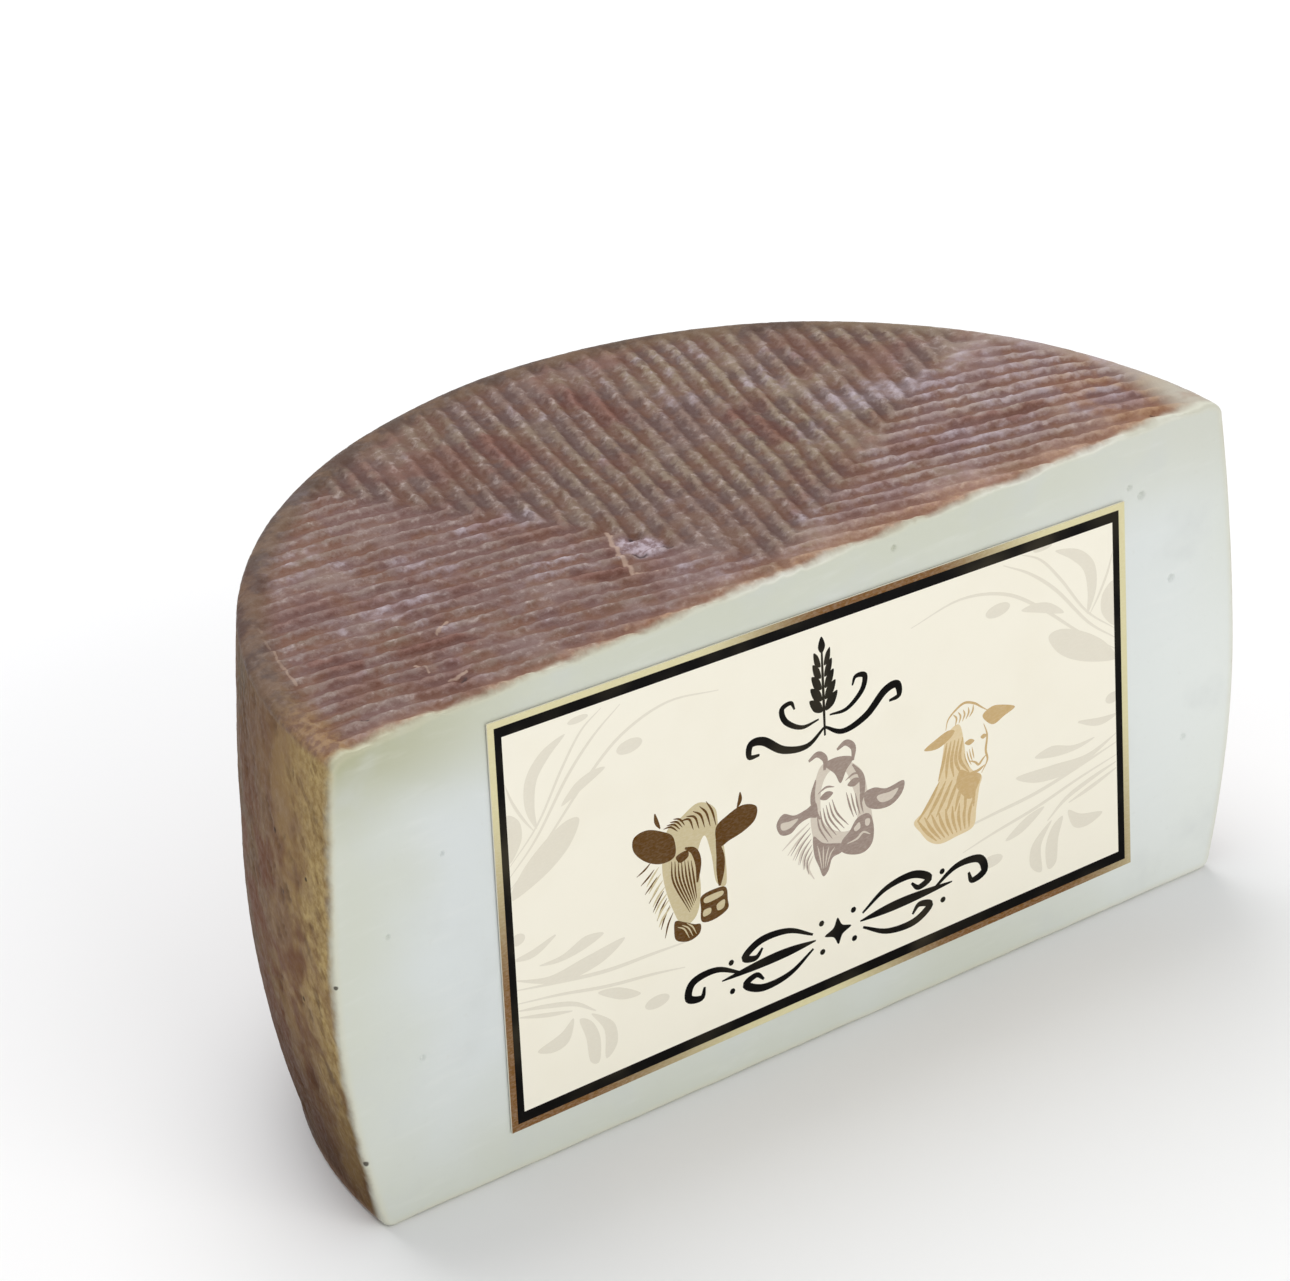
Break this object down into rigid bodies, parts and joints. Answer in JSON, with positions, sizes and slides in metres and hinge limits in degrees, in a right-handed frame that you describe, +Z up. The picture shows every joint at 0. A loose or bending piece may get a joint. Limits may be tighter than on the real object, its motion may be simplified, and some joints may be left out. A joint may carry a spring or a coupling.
{
  "type": "half wheel of cheese",
  "caption": "Half wheel of pressed cheese with a toasted, basket-printed rind, standing on its base with a picture label on its ivory cut face.",
  "frame": {"origin": "on the table, at the bottom centre of the part's box", "axes": "+Z up through the height of the wheel, +X along the cut face to the right as seen from in front, and the cut face looks along -Y"},
  "size_m": [0.2, 0.1004, 0.0985],
  "materials": {
    "cheese": "ivory paste with a satin, freshly cut face, inside a ridged mauve-brown rind that turns ochre at its edges",
    "label_paper": "cream printed paper with a black and gold border"
  },
  "bodies": {
    "root": {"cheese": "cheese", "label": "label_paper"}
  },
  "joints": []
}
